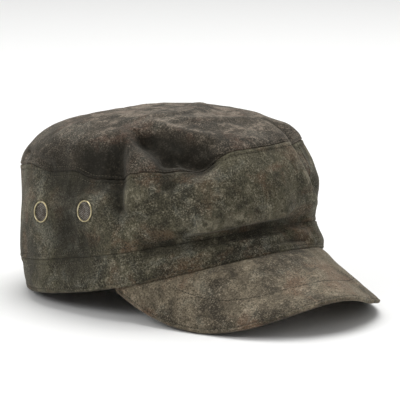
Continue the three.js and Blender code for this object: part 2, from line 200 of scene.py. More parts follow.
# Sewing: a turned edge stands proud of its row of stitching, and the leather goes on behind
STITCH = dict(pitch=2.1, length=1.3, width=0.45, height=0.34, stands=0.06, least_height=0.3)
NEEDLE_HOLE = {"length": 0.806, "width": 0.62, "height": 0.2}
SEWN_EDGE = {"proud": 0.25, "proud_reach": 0.45, "pulled": 0.2, "pulled_reach": 0.55}
ALLOWANCE = {"reach": 5.0, "turn": 0.3, "steps": 5, "clear": 0.35}

# Rows of stitching: distance from the seam or edge that each follows
STITCH_ROWS = {
    "above_upper_seam": 2.0,
    "below_upper_seam": 2.8,
    "above_lower_seam": 2.8,
    "below_lower_seam": 2.8,
    "hem": 2.6,
    "beside_wall_seam": 2.4,
    "peak_edge": 2.2,
    "peak_middle": 21.0,
}
PEAK_ROWS_SEWN = [
    dict(name="peak_edge", pull=0.3, reach=0.6, least_out=0.2),
    dict(name="peak_middle", pull=0.14, reach=0.7, least_out=0.12),
]


def ease(value):
    part = np.clip(value, 0, 1)
    return part * part * (3 - 2 * part)


def bell(distance, reach):
    """1 at no distance and less and less past the reach."""
    return np.exp(-((distance / reach) ** 2))


def table_value(rows, column, at):
    """A smooth curve through one column of the sections."""
    knots = np.array(rows["height"], float)
    values = np.array(rows[column], float)
    steepness = np.empty_like(values)
    steepness[1:-1] = (values[2:] - values[:-2]) / (knots[2:] - knots[:-2])
    steepness[0] = (values[1] - values[0]) / (knots[1] - knots[0])
    steepness[-1] = (values[-1] - values[-2]) / (knots[-1] - knots[-2])
    low = np.clip(np.searchsorted(knots, at, side="left") - 1, 0, len(knots) - 2)
    span = knots[low + 1] - knots[low]
    part = np.clip((at - knots[low]) / span, 0, 1)
    square, cube = part**2, part**3
    return (
        (2 * cube - 3 * square + 1) * values[low]
        + (cube - 2 * square + part) * span * steepness[low]
        + (3 * square - 2 * cube) * values[low + 1]
        + (cube - square) * span * steepness[low + 1]
    )


def signed_power(value, power):
    return np.sign(value) * np.abs(value) ** power


def outline(angle):
    ahead, aside = np.cos(np.radians(angle)), np.sin(np.radians(angle))
    exponent = 2 + CROWN["back_squareness"] * ease(-CROWN["back_spread"] * ahead)
    return (
        CROWN["half_length"] * signed_power(ahead, 2 / exponent),
        CROWN["half_width"] * signed_power(aside, 2 / exponent),
    )


def outline_outward(angle):
    late_ahead, late_aside = outline(angle + DIFFERENCE["outline"])
    early_ahead, early_aside = outline(angle - DIFFERENCE["outline"])
    along, across = late_ahead - early_ahead, late_aside - early_aside
    size = np.hypot(along, across)
    return across / size, -along / size


def plain_crown(angle, level):
    """The crown without its folds, in the cap's own frame: forward, right, up from the rim."""
    angle, level = np.broadcast_arrays(np.asarray(angle, float), np.asarray(level, float))
    ahead = np.cos(np.radians(angle))
    on_band, on_wall, on_top = (np.clip(level - start, 0, 1) for start in (0, 1, 2))
    band_loss = ease((ahead - CROWN["band_loss_from"]) / (1 - CROWN["band_loss_from"]))
    band = CROWN["band_height"] - CROWN["band_front_loss"] * band_loss
    wall = CROWN["wall_height"] - CROWN["wall_front_loss"] * ease(ahead)
    nominal = BAND_TALL * on_band + WALL_TALL * on_wall
    front = np.where(ahead > 0, ahead**2, 0)
    back = np.where(ahead < 0, ahead**2, 0)
    outset = (
        front * table_value(SECTIONS, "front", nominal)
        + back * table_value(SECTIONS, "back", nominal)
        + (1 - front - back) * table_value(SECTIONS, "side", nominal)
    )
    plan_ahead, plan_aside = outline(angle)
    out_ahead, out_aside = outline_outward(angle)
    forward = plan_ahead + out_ahead * outset
    right = plan_aside + out_aside * outset
    turn = on_top * math.pi / 2
    sideways = np.abs(np.abs(np.mod(angle + 180, 360) - 180) - 90)
    at_side = ease(1 - sideways / 90)
    dome = SHOULDER["end_dome"] + (SHOULDER["side_dome"] - SHOULDER["end_dome"]) * at_side
    round_ = SHOULDER["end_round"] + (SHOULDER["side_round"] - SHOULDER["end_round"]) * at_side
    shrink = np.maximum(np.cos(turn), 0) ** (2 / dome)
    forward, right = forward * shrink, right * shrink
    top = CROWN["top_height"] - CROWN["top_front_fall"] * forward / CROWN["half_length"]
    lower = band * on_band + (wall - band) * on_wall
    upper = wall + (top - wall) * np.sin(turn) ** (2 * round_)
    saddle = CROWN["rim_saddle"] * np.cos(np.radians(2 * angle))
    saddle = saddle + CROWN["rim_front_rise"] * np.cos(np.radians(3 * angle))
    height = np.where(on_top > 0, upper, lower) + saddle * np.clip(1 - level / 2, 0, 1)
    return np.stack([forward, right, height], -1)


def unit(vectors):
    return vectors / (np.linalg.norm(vectors, axis=-1, keepdims=True) + 1e-12)


def outward_of(surface, angle, level, level_step):
    """Which way is out of a surface that is a function of angle and level."""
    low = np.clip(level - level_step, 0, HIGHEST["below"])
    high = np.minimum(level + level_step, HIGHEST["above"])
    later, earlier = angle + DIFFERENCE["angle"], angle - DIFFERENCE["angle"]
    around = surface(later, level) - surface(earlier, level)
    up = surface(angle, high) - surface(angle, low)
    return unit(np.cross(around, up))


def plain_outward(angle, level):
    """Which way is out of the crown without its folds."""
    return outward_of(plain_crown, angle, np.minimum(level, HIGHEST["level"]), DIFFERENCE["broad"])


def fold_path(row):
    """Points along a fold, straight or in a bow."""
    part = np.linspace(0, 1, FOLD_STEPS + 1)[:, None]
    start, by, end = row["line"]
    path = start * (1 - part) ** 2 + by * 2 * part * (1 - part) + end * part**2
    return plain_crown(path[:, 0], path[:, 1])


FOLD_PATHS = [fold_path(row) for row in FOLDS.values()]


def fold_share(points, outward, path, row):
    """How much of a fold's depth each point gets, 1 on its line and 0 far from it."""
    left, right = row["widths"]
    least = np.full(points.shape[:-1], np.inf)
    width = np.full(points.shape[:-1], left)
    for first, last in zip(path[:-1], path[1:]):
        along = last - first
        part = np.clip((points - first) @ along / (along @ along), 0, 1)
        away = points - (first + part[..., None] * along)
        distance = np.linalg.norm(away, axis=-1)
        hand = np.sum(np.cross(along, away) * outward, -1)
        nearer = distance < least
        least = np.where(nearer, distance, least)
        width = np.where(nearer, np.where(hand < 0, left, right), width)
    return np.exp(-((least / width) ** row["edge"]))


def waves(points, seed, count, length):
    """Gentle lumps of about the given length, from -1 to 1, as a sum of slanted waves."""
    chance = np.random.default_rng(seed)
    total = np.zeros(points.shape[:-1])
    for _ in range(count):
        way = unit(chance.normal(size=3)) * 2 * math.pi / (length * chance.uniform(0.7, 1.6))
        total = total + np.sin(points @ way + chance.uniform(0, 2 * math.pi))
    return total / math.sqrt(count)


def lumps(points, seed, count, length, height, **_):
    return waves(points, seed, count, length) * height


def crumple(points):
    """Wrinkles that any soft leather has: positive is out."""
    bend, sharp = CRUMPLE["bend"], CRUMPLE["creased"]
    bends = [waves(points, seed, bend["count"], bend["length"]) for seed in bend["seeds"]]
    bent = points + np.stack(bends, -1) * bend["height"]
    creased = sharp["middle"] - np.abs(lumps(bent, **sharp))
    return lumps(bent, **CRUMPLE["broad"]) + creased + lumps(bent, **CRUMPLE["fine"])


def crown(angle, level, crumpled=1):
    """The crown with its folds and wrinkles, in the cap's own frame."""
    angle, level = np.broadcast_arrays(np.asarray(angle, float), np.asarray(level, float))
    points = plain_crown(angle, level)
    outward = plain_outward(angle, level)
    grown = ease(level / CRUMPLE_GROWTH["over"] + CRUMPLE_GROWTH["at_rim"])
    inward = -crumpled * crumple(points) * grown
    down = np.zeros_like(inward)
    for row, path in zip(FOLDS.values(), FOLD_PATHS):
        share = fold_share(points, outward, path, row)
        inward = inward + row["depth"] * share
        down = down + row["drop"] * share
    points = points - outward * inward[..., None]
    points[..., 2] -= down
    return points


def rest_tilted(points):
    """From the cap's own frame to left, back and up, tilted as the cap rests."""
    tilt = math.radians(REST["tilt"])
    ahead = points[..., 0] + CROWN["half_length"]
    forward = ahead * math.cos(tilt) - points[..., 2] * math.sin(tilt)
    height = ahead * math.sin(tilt) + points[..., 2] * math.cos(tilt)
    return np.stack([-points[..., 1], CROWN["half_length"] - forward, height], -1)


def footprint_middle():
    """The middle of the CAD footprint in the cap's own plan, worked out from its band."""
    angle = np.arange(0, 360, 1.0)
    levels = np.linspace(0, 1 - SEAM_GAP / 2 / CROWN["band_height"], 9)
    band = rest_tilted(crown(angle[None], levels[:, None], crumpled=0)).reshape(-1, 3)
    left, back, _ = band.max(0) - np.array(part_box("head_band")[1]) / MM
    return np.array([left, back, REST["rim_lift"] + REST["press"]])


FOOTPRINT_MIDDLE = footprint_middle()


def place(points):
    """From the cap's own frame to the part's, still in millimetres."""
    return rest_tilted(points) - FOOTPRINT_MIDDLE


# Making the leather


def start_fresh():
    if bpy.context.mode != "OBJECT":
        bpy.ops.object.mode_set(mode="OBJECT")
    bpy.ops.object.select_all(action="DESELECT")


def choose(*pieces):
    """Selects these pieces alone and makes the first the active one."""
    start_fresh()
    for piece in pieces:
        piece.select_set(True)
    bpy.context.view_layer.objects.active = pieces[0]


@contextmanager
def editing():
    """Edit mode, begun with everything selected."""
    bpy.ops.object.mode_set(mode="EDIT")
    bpy.ops.mesh.select_all(action="SELECT")
    yield
    bpy.ops.object.mode_set(mode="OBJECT")


def grid_spacing(steps, length, edges, close, ends=(True, True)):
    """Positions along a panel, `close` apart within `edges` of its ends and even between."""
    border = np.linspace(0, edges, int(round(edges / close)), endpoint=False)
    first = border if ends[0] else border[:0]
    last = length - border[::-1] if ends[1] else border[:0]
    inner_from = edges if ends[0] else 0
    inner_to = length - edges if ends[1] else length
    between = steps + 1 - len(first) - len(last)
    middle = np.linspace(inner_from, inner_to, between)
    return np.concatenate([first, middle, last]) / length


def rolled(distance, radius):
    """How far a turned edge rolls in, by the distance to it."""
    left = np.clip(radius - distance, 0, radius)
    return radius - np.sqrt(radius**2 - left**2)


def stitched_relief(distance, row):
    """A seam's turned edge stands proud, and its row of stitching pulls the leather in."""
    proud = SEWN_EDGE["proud"] * bell(distance - row / 2, row * SEWN_EDGE["proud_reach"])
    pulled = SEWN_EDGE["pulled"] * bell(distance - row, SEWN_EDGE["pulled_reach"])
    return pulled - proud


def hidden_steps(length):
    """Distances short of a seam, for the allowance that goes on behind the next piece."""
    return -np.linspace(ALLOWANCE["reach"], ALLOWANCE["turn"], ALLOWANCE["steps"]) / length


def edge_relief(distance, row, roll=EDGE_ROLL):
    """How far an edge lies inward, turned and with its row of stitching."""
    return rolled(distance, roll) + stitched_relief(distance, STITCH_ROWS[row])


def seam_relief(distance, row, behind):
    """The same for an edge with an allowance behind the next piece, as thick as behind."""
    return np.where(distance < 0, behind + ALLOWANCE["clear"], edge_relief(distance, row))


def grid_outward(points):
    """Outward directions of a grid of points, its rows going up and its columns to the right."""
    up = np.gradient(points, axis=0)
    around = np.gradient(points, axis=1)
    return unit(np.cross(around, up))


def settle(points):
    points[..., 2] = np.maximum(points[..., 2], 0)
    return points


def leather_panel(name, part, points, attributes, closed=False, skived=None):
    """A panel of leather: a flat grid bent to the points, then given its part's thickness.

    Skived is how much of that thickness is left at each point.
    """
    start_fresh()
    rows, columns = points.shape[0] - 1, points.shape[1] - 1
    bpy.ops.mesh.primitive_grid_add(x_subdivisions=columns, y_subdivisions=rows, size=2)
    panel = bpy.context.object
    panel.name = name
    mesh = panel.data
    flat = np.empty(len(mesh.vertices) * 3)
    mesh.vertices.foreach_get("co", flat)
    flat = flat.reshape(-1, 3)
    column = np.rint((flat[:, 0] + 1) / 2 * columns).astype(int)
    row = np.rint((flat[:, 1] + 1) / 2 * rows).astype(int)
    mesh.vertices.foreach_set("co", (points[row, column] * MM).ravel())
    for key, values in attributes.items():
        layer = mesh.attributes.new(key, "FLOAT", "POINT")
        layer.data.foreach_set("value", values[row, column].astype(np.float32))
    with editing():
        if closed:
            bpy.ops.mesh.remove_doubles(threshold=WELD["leather"] * MM)
    mesh.materials.append(leather_finish[part])
    mesh.materials.append(flesh_finish)
    solid = panel.modifiers.new("thickness", "SOLIDIFY")
    solid.thickness = LEATHER[part] * MM
    solid.offset = -1
    solid.use_rim = True
    solid.material_offset = 1
    if skived is not None:
        group = panel.vertex_groups.new(name="skived")
        for number, left in enumerate(skived[row, column]):
            group.add([number], float(left), "REPLACE")
        solid.vertex_group = group.name
    bpy.ops.object.modifier_apply(modifier=solid.name)
    bpy.ops.object.shade_smooth_by_angle(angle=math.radians(SHARP_ANGLE["leather"]))
    return panel


def finish_piece(piece, slot, *nodes):
    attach(piece, "root")
    if nodes:
        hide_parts(*nodes)


# Shader maths


def math_node(operation, swapped=False):
    """Arithmetic between a wire and another value, as a Math node."""

    def combined(wire, other):
        first, second = (other, wire) if swapped else (wire, other)
        return wire.finish.node("ShaderNodeMath", {"operation": operation}, {0: first, 1: second})

    return combined


class Wire:
    """A socket in a material, with arithmetic that adds Math nodes."""

    def __init__(self, finish, socket):
        self.finish = finish
        self.socket = socket

    __add__, __radd__ = math_node("ADD"), math_node("ADD", swapped=True)
    __sub__, __rsub__ = math_node("SUBTRACT"), math_node("SUBTRACT", swapped=True)
    __mul__, __rmul__ = math_node("MULTIPLY"), math_node("MULTIPLY", swapped=True)


class Finish:
    """A material and the means to wire it."""

    def __init__(self, name):
        self.material = bpy.data.materials.new(name)
        self.material.use_nodes = True
        self.tree = self.material.node_tree
        self.shader = self.tree.nodes["Principled BSDF"]

    def set(self, key, value):
        """Puts a number, a colour or a wire into one of the shader's sockets."""
        self.plug(self.shader.inputs[key], value)

    def plug(self, socket, value):
        if isinstance(value, Wire):
            self.tree.links.new(value.socket, socket)
        else:
            socket.default_value = value

    def node(self, kind, settings, inputs, output=0):
        """Adds a node with its settings and its sockets' values or wires."""
        made = self.tree.nodes.new(kind)
        for key, value in settings.items():
            setattr(made, key, value)
        for key, value in inputs.items():
            self.plug(made.inputs[key], value)
        return Wire(self, made.outputs[output])

    def place_mm(self):
        """The point on the piece, in millimetres."""
        where = self.node("ShaderNodeTexCoord", {}, {}, "Object")
        inputs = {0: where, "Scale": 1 / MM}
        return self.node("ShaderNodeVectorMath", {"operation": "SCALE"}, inputs)

    def moved(self, where, shift):
        return self.node("ShaderNodeVectorMath", {"operation": "ADD"}, {0: where, 1: shift})

    def noise(self, where, size, detail, roughness, distortion=0.0):
        """Patches of about the given size in millimetres, from 0 to 1."""
        inputs = {
            "Vector": where,
            "Scale": 1 / size,
            "Detail": detail,
            "Roughness": roughness,
            "Distortion": distortion,
        }
        return self.node("ShaderNodeTexNoise", {"noise_dimensions": "3D"}, inputs)

    def step(self, value, low, high, top=1.0):
        """0 below low, the top value above high and a soft step between."""
        settings = {"interpolation_type": "SMOOTHSTEP", "clamp": True}
        inputs = {"Value": value, "From Min": low, "From Max": high, "To Max": top}
        return self.node("ShaderNodeMapRange", settings, inputs)

    def mix(self, factor, first, second):
        """Mixes two colours, from the first at 0 to the second at 1."""
        inputs = {0: factor, 6: first, 7: second}
        return self.node("ShaderNodeMix", {"data_type": "RGBA"}, inputs, 2)

    def attribute(self, key):
        return self.node("ShaderNodeAttribute", {"attribute_name": key}, {}, "Fac")

    def bump(self, height_mm, strength):
        """Turns a height in millimetres into a normal."""
        inputs = {"Strength": strength, "Distance": MM, "Height": height_mm}
        self.set("Normal", self.node("ShaderNodeBump", {}, inputs, "Normal"))


def colour(red, green, blue):
    """A colour given as it looks on a screen, 0 to 255, as the shader wants it."""
    linear = [
        value / 255 / 12.92 if value <= 10 else ((value / 255 + 0.055) / 1.055) ** 2.4
        for value in (red, green, blue)
    ]
    return (*linear, 1)


# Patches of the leather, each with its own shift, size in millimetres and character
PATCHES = {
    "broad": ((0, 0, 0), dict(size=46, detail=3, roughness=0.6, distortion=0.7)),
    "middle": ((31, 7, 19), dict(size=15, detail=4, roughness=0.62, distortion=0.5)),
    "small": ((5, 43, 11), dict(size=4.4, detail=4, roughness=0.66, distortion=0.3)),
    "speck": ((17, 3, 29), dict(size=0.9, detail=3, roughness=0.7)),
    "grain": ((2, 13, 37), dict(size=1.1, detail=3, roughness=0.75)),
    "tinge": ((61, 23, 5), dict(size=26, detail=4, roughness=0.6, distortion=0.6)),
    "chill": ((3, 71, 47), dict(size=20, detail=4, roughness=0.62, distortion=0.5)),
}

# Where each tone begins and is full, and how strong it then is. Worn and creased go by
# millimetres of ridge and of dent. Worn is lighter wear on ridges; creased is painted shade in
# folds and dents. The tone by faces_up is painted light on faces that point up.
TONES = {
    "ground": dict(low=0.41, high=0.59),
    "rust": dict(low=0.5, high=0.64, top=0.7),
    "cool": dict(low=0.52, high=0.66, top=0.5),
    # Painted light from above: paler where the leather faces straight up
    "painted_top_light": dict(low=0.92, high=1.0),
    "pale": dict(low=0.54, high=0.68, top=0.6),
    "dusty": dict(low=0.42, high=0.6, top=0.65),
    "speck": dict(low=0.44, high=0.7),
    "pores": dict(low=0.28, high=0.58),
    "uneven": dict(low=0.35, high=0.6),
    "worn": dict(low=0.5, high=5.0, top=0.25),
    # creased: painted shade, darker the deeper the leather lies in a fold or dent
    "creased": dict(low=0.9, high=6.5, top=0.95),
}
LEAST_DUST = 0.26
# The colour of the painted shade in folds and dents
CREASE_SHADE = colour(22, 20, 13)


def weathered_leather(name, ground, dark, light, rust, cool, patch_shift, painted_top_light_share):
    """Nubuck leather: a mottled ground with pale, rust and cool patches, pores and worn ridges,
    painted shade in its folds and dents and painted light on its upward faces.
    """
    finish = Finish(name)
    where = finish.moved(finish.place_mm(), patch_shift)
    broad, middle, small, speck, grain, tinge, chill = (
        finish.noise(finish.moved(where, shift), **patch) for shift, patch in PATCHES.values()
    )
    depth = finish.attribute("fold_depth")
    # Painted light: the upward faces of the leather drawn paler, as if lit from above
    painted_top_light = finish.step(finish.attribute("faces_up"), **TONES["painted_top_light"]) * painted_top_light_share
    cloud = broad * 0.4 + middle * 0.42 + small * 0.18
    stain = tinge * 0.85 + small * 0.15
    # Random pale patches, spread further by the painted light on upward faces
    bloom = middle * 0.5 + small * 0.5 + painted_top_light
    dust = finish.step(chill * 0.5 + small * 0.5, **TONES["dusty"]) + LEAST_DUST
    uneven = finish.step(small, **TONES["uneven"])
    tone = finish.mix(finish.step(cloud, **TONES["ground"]), dark, ground)
    tone = finish.mix(finish.step(stain, **TONES["rust"]), tone, rust)
    tone = finish.mix(finish.step(chill, **TONES["cool"]), tone, cool)
    tone = finish.mix(finish.step(bloom, **TONES["pale"]), tone, light)
    tone = finish.mix(finish.step(speck, **TONES["speck"]) * dust, tone, light)
    tone = finish.mix(1 - finish.step(grain, **TONES["pores"]), tone, dark)
    tone = finish.mix(finish.step(0 - depth, **TONES["worn"]) * uneven, tone, light)
    # Painted shade: the deeper a fold or dent, the nearer the tone comes to the crease shade
    # colour
    tone = finish.mix(finish.step(depth, **TONES["creased"]) * (0.6 + 0.4 * uneven), tone, CREASE_SHADE)
    finish.set("Base Color", tone)
    finish.set("Roughness", 0.78 + small * 0.18)
    finish.set("Specular IOR Level", 0.2)
    finish.set("Sheen Weight", 0.14)
    finish.set("Sheen Roughness", 0.45)
    finish.set("Sheen Tint", colour(226, 220, 206))
    finish.bump(small * 0.5 + speck * 0.3 + grain * 0.3, 0.7)
    return finish.material


def raw_leather(name, ground):
    """The flesh side of the leather, seen inside."""
    finish = Finish(name)
    where = finish.place_mm()
    fibre = finish.noise(where, 1.6, 4, 0.7, 1.2)
    cloud = finish.noise(where, 18, 3, 0.6)
    tone = finish.mix(finish.step(cloud, 0.35, 0.65) * 0.5, ground, colour(70, 62, 52))
    tone = finish.mix(fibre * 0.35, tone, colour(128, 116, 100))
    finish.set("Base Color", tone)
    finish.set("Roughness", 0.9 + fibre * 0.08)
    finish.set("Specular IOR Level", 0.15)
    finish.set("Sheen Weight", 0.3)
    finish.bump(fibre * 0.4, 0.6)
    return finish.material


def dull_brass(name, ground, shade, roughness):
    finish = Finish(name)
    where = finish.place_mm()
    cloud = finish.noise(where, 2.4, 3, 0.6)
    finish.set("Base Color", finish.mix(finish.step(cloud, 0.35, 0.7), ground, shade))
    finish.set("Metallic", 1.0)
    finish.set("Roughness", roughness + cloud * 0.15)
    finish.bump(cloud * 0.03, 0.4)
    return finish.material


def waxed_thread(name, ground):
    finish = Finish(name)
    where = finish.place_mm()
    ply = finish.noise(where, 0.5, 2, 0.6)
    finish.set("Base Color", finish.mix(ply * 0.5, ground, colour(30, 27, 22)))
    finish.set("Roughness", 0.6 + ply * 0.2)
    finish.set("Specular IOR Level", 0.3)
    return finish.material


def studio_floor():
    finish = Finish("pale floor")
    where = finish.place_mm()
    cloud = finish.noise(where, 60, 2, 0.5)
    finish.set("Base Color", finish.mix(cloud * 0.1, colour(244, 244, 243), colour(238, 238, 237)))
    finish.set("Roughness", 0.6 + cloud * 0.05)
    finish.set("Specular IOR Level", 0.1)
    return finish.material


OLIVE = dict(
    ground=colour(83, 79, 62), dark=colour(38, 36, 27), light=colour(151, 144, 125),
    rust=colour(94, 72, 54), cool=colour(100, 102, 94),
)
BROWN = dict(
    ground=colour(116, 106, 88), dark=colour(50, 45, 36), light=colour(162, 150, 130),
    rust=colour(106, 82, 64), cool=colour(100, 100, 89),
)
UMBER = dict(
    ground=colour(60, 54, 44), dark=colour(34, 31, 24), light=colour(150, 137, 122),
    rust=colour(84, 63, 51), cool=colour(80, 80, 72),
)
# Each part's share of the painted light on its upward faces
LOOKS = {
    "top": dict(**UMBER, patch_shift=(9, 4, 2), painted_top_light_share=0.1),
    "wall": dict(**OLIVE, patch_shift=(0, 0, 0), painted_top_light_share=0.0),
    "band": dict(**OLIVE, patch_shift=(140, 20, 60), painted_top_light_share=0.0),
    "peak": dict(**BROWN, patch_shift=(50, 90, 7), painted_top_light_share=0.02),
}
leather_finish = {
    part: weathered_leather(f"weathered leather of the {part}", **look)
    for part, look in LOOKS.items()
}
flesh_finish = raw_leather("flesh side of the leather", colour(96, 86, 72))
thread_finish = waxed_thread("dark thread", colour(92, 86, 70))
# Near-black beads of painted shade, one for each needle hole
needle_hole_shade_finish = waxed_thread("painted shade in needle holes", colour(22, 20, 16))
ring_finish = dull_brass("pale brass", colour(214, 203, 168), colour(170, 156, 116), 0.28)
wire_finish = dull_brass("darkened wire", colour(156, 150, 142), colour(98, 92, 84), 0.46)

# The crown


def vent_seat(vent):
    """A vent's place on the wall and its three directions, in the part's frame."""
    angle, level = np.array(vent["angle"]), np.array(vent["level"])
    outward = outward_of(crown, angle, level, DIFFERENCE["broad"])
    surface = crown(angle, level)
    seat = place(surface)
    out = unit(place(surface + outward) - seat)
    along = unit(np.cross([0, 0, 1], out))
    return {"seat": seat, "out": out, "along": along, "up": np.cross(out, along)}


VENT_SEATS = [vent_seat(vent) for vent in VENTS]


def seat_vents(points):
    """Leather pulled flat under each vent's ring."""
    radius, blend = VENT_SEAT["radius"], VENT_SEAT["blend"]
    for seat in VENT_SEATS:
        away = points - seat["seat"]
        height = away @ seat["out"]
        flat_distance = np.linalg.norm(away - height[..., None] * seat["out"], axis=-1)
        near = (np.abs(height) < VENT_SEAT["depth"]) & (flat_distance < blend)
        share = 1 - ease((flat_distance - radius) / (blend - radius))
        dimple = VENT_SEAT["dimple"] * np.exp(-((flat_distance / radius) ** 4))
        share = np.where(near, share, 0)
        points = points - ((height + dimple) * share)[..., None] * seat["out"]
    return points


def fold_depth(skin, angle, level):
    """How deep below its unfolded place the leather lies."""
    plain = plain_crown(angle, level)
    outward = plain_outward(angle, level)
    return np.sum((plain - skin) * outward, -1)


def lay_crown(angles, levels, relief):
    """Points of a crown panel, how deep in a fold each lies and how much it faces up."""
    angle, level = np.meshgrid(angles, levels)
    skin = crown(angle, level)
    deep = fold_depth(skin, angle, level)
    placed = place(skin)
    outward = grid_outward(placed)
    attributes = {"fold_depth": deep, "faces_up": np.clip(outward[..., 2], 0, 1)}
    return settle(placed - outward * relief[..., None]), attributes


def closed_angles(columns):
    return WALL_SEAM_ANGLE - np.linspace(0, 360, columns + 1)


def make_band():
    up = grid_spacing(BAND_ROWS, BAND_TALL, **BESIDE_SEAM)
    levels = up * (1 - SEAM_GAP / 2 / BAND_TALL)
    from_rim, from_seam = up * BAND_TALL, (1 - up) * BAND_TALL
    relief = edge_relief(from_seam, "below_lower_seam") + edge_relief(from_rim, "hem", HEM_ROLL)
    relief = np.repeat(relief[:, None], COLUMNS + 1, 1)
    points, attributes = lay_crown(closed_angles(COLUMNS), levels, relief)
    points[:, -1] = points[:, 0]
    band = leather_panel("band_leather", "band", points, attributes, closed=True)
    finish_piece(band, "head_band", "head_band")


def make_wall():
    shown = grid_spacing(WALL_ROWS, WALL_TALL, **BESIDE_SEAM)
    shown_levels = 1 + shown * (1 - SEAM_GAP / WALL_TALL) + SEAM_GAP / 2 / WALL_TALL
    levels = np.concatenate([1 + hidden_steps(BAND_TALL), shown_levels])
    up = np.concatenate([hidden_steps(WALL_TALL), shown])
    shown_along = grid_spacing(COLUMNS, WALL_GIRTH, **BESIDE_SEAM)
    along = np.concatenate([hidden_steps(WALL_GIRTH), shown_along])
    angles = WALL_SEAM_ANGLE - along * 360
    from_high = (1 - up) * WALL_TALL
    relief = seam_relief(up * WALL_TALL, "above_lower_seam", LEATHER["band"])
    relief += edge_relief(from_high, "below_upper_seam")
    beside = seam_relief(along * WALL_GIRTH, "beside_wall_seam", LEATHER["wall"])
    beside += rolled((1 - along) * WALL_GIRTH, EDGE_ROLL)
    points, attributes = lay_crown(angles, levels, relief[:, None] + beside[None, :])
    wall = leather_panel("wall_leather", "wall", seat_vents(points), attributes)
    cut_vent_holes(wall)
    finish_piece(wall, "crown_wall", "crown_wall")


def cut_vent_holes(wall):
    """Punches a round hole through the wall for each vent."""
    for seat in VENT_SEATS:
        start_fresh()
        bpy.ops.mesh.primitive_cylinder_add(
            vertices=PUNCH["sides"], radius=VENT["hole"] * MM, depth=PUNCH["depth"] * MM
        )
        punch = bpy.context.object
        punch.data.transform(seat_matrix(seat))
        choose(wall)
        cut = wall.modifiers.new("vent hole", "BOOLEAN")
        cut.operation = "DIFFERENCE"
        cut.solver = "EXACT"
        cut.object = punch
        bpy.ops.object.modifier_apply(modifier=cut.name)
        bpy.data.objects.remove(punch)


def seat_matrix(seat):
    turn = Matrix([seat["along"], seat["up"], seat["out"]]).transposed().to_4x4()
    return Matrix.Translation(Vector(seat["seat"]) * MM) @ turn


def top_levels():
    """Levels up the top piece, close together at its seam and then evenly spaced over it."""
    fine = np.linspace(2, 3, TOP_LEVEL_STEPS + 1)
    angle = np.arange(0, 360, 30.0)
    lines = plain_crown(angle[None], fine[:, None])
    pieces = np.linalg.norm(np.diff(lines, axis=0), axis=-1).mean(1)
    reach = np.concatenate([[0], np.cumsum(pieces)])
    wanted = grid_spacing(TOP_ROWS, reach[-1], **BESIDE_SEAM, ends=(True, False)) * reach[-1]
    return np.interp(wanted, reach, fine), wanted


def make_top():
    shown_levels, shown = top_levels()
    shown_levels[0] += SEAM_GAP / 2 / TOP_REACH
    levels = np.concatenate([2 + hidden_steps(WALL_TALL), shown_levels])
    from_seam = np.concatenate([hidden_steps(1), shown])
    relief = seam_relief(from_seam, "above_upper_seam", LEATHER["wall"])
    relief = np.repeat(relief[:, None], COLUMNS + 1, 1)
    points, attributes = lay_crown(closed_angles(COLUMNS), levels, relief)
    points[:, -1] = points[:, 0]
    points[-1] = points[-2].mean(0)
    top = leather_panel("top_leather", "top", points, attributes, closed=True)
    finish_piece(top, "crown_top", "crown_top")


# The peak


def peak_plan(across):
    """How far round its half a place on the peak lies, and its share of the full length."""
    spread = across * PEAK["corner_cut"]
    return spread, (1 - np.abs(spread) ** PEAK["squareness"]) ** (1 / PEAK["roundness"])


def peak(across, out, depth):
    """Points of the peak: across from -1 to 1, out from the root, 0, to the edge, 1."""
    across, out = np.broadcast_arrays(np.asarray(across, float), np.asarray(out, float))
    spread, reach = peak_plan(across)
    angle = spread * PEAK["half_spread"]
    steeper = PEAK["extra_side_slope"] * np.abs(spread) ** PEAK["side_slope_power"]
    slope = np.radians(PEAK["front_slope"] + steeper)
    curl = PEAK["curl"] * bell(spread - PEAK["curl_across"], PEAK["curl_reach"]) * out**2
    line = np.linspace(-PEAK["half_spread"], PEAK["half_spread"], PEAK_ROOT_STEPS + 1)
    rim = np.zeros_like(line)
    root_line = crown(line, rim)
    root_line = root_line - outward_of(crown, line, rim, DIFFERENCE["fine"]) * PEAK["root_tuck"]
    root = [np.interp(angle, line, root_line[:, axis]) for axis in range(3)]
    run = (PEAK["length"] * reach + PEAK["root_tuck"]) * out
    fallen = np.maximum(run - PEAK["root_tuck"], 0) * PEAK["fall_gain"]
    lift = PEAK["puff"] * ease(out / PEAK["puff_reach"]) - PEAK["root_drop"] - curl - depth
    return np.stack(
        [
            root[0] + run * np.cos(slope) + lift * np.sin(slope),
            root[1],
            root[2] - fallen * np.sin(slope) + lift * np.cos(slope),
        ],
        -1,
    )


def peak_distance_in(across, out):
    """How far a point of the peak lies inside its outer edge."""
    run = PEAK["length"] * peak_plan(across)[1] + PEAK["root_tuck"]
    along_edge = np.linspace(-1, 1, PEAK_EDGE_STEPS)
    edge = KDTree(len(along_edge))
    for number, point in enumerate(peak(along_edge, np.ones_like(along_edge), 0)):
        edge.insert(point, number)
    edge.balance()
    here = peak(across, out, 0)
    nearest = np.array([edge.find(point)[2] for point in here.reshape(-1, 3)])
    return np.minimum(run * (1 - out), nearest.reshape(across.shape))


def peak_grid():
    """Positions across and out over the peak, its columns closer together at the sides."""
    turn = np.linspace(-1, 1, PEAK_COLUMNS + 1) * PEAK_CLOSENESS * math.pi / 2
    across = -np.sin(turn) / math.sin(PEAK_CLOSENESS * math.pi / 2)
    out = grid_spacing(PEAK_ROWS, PEAK["length"], **BESIDE_PEAK_EDGE, ends=(False, True))
    return np.meshgrid(across, out)


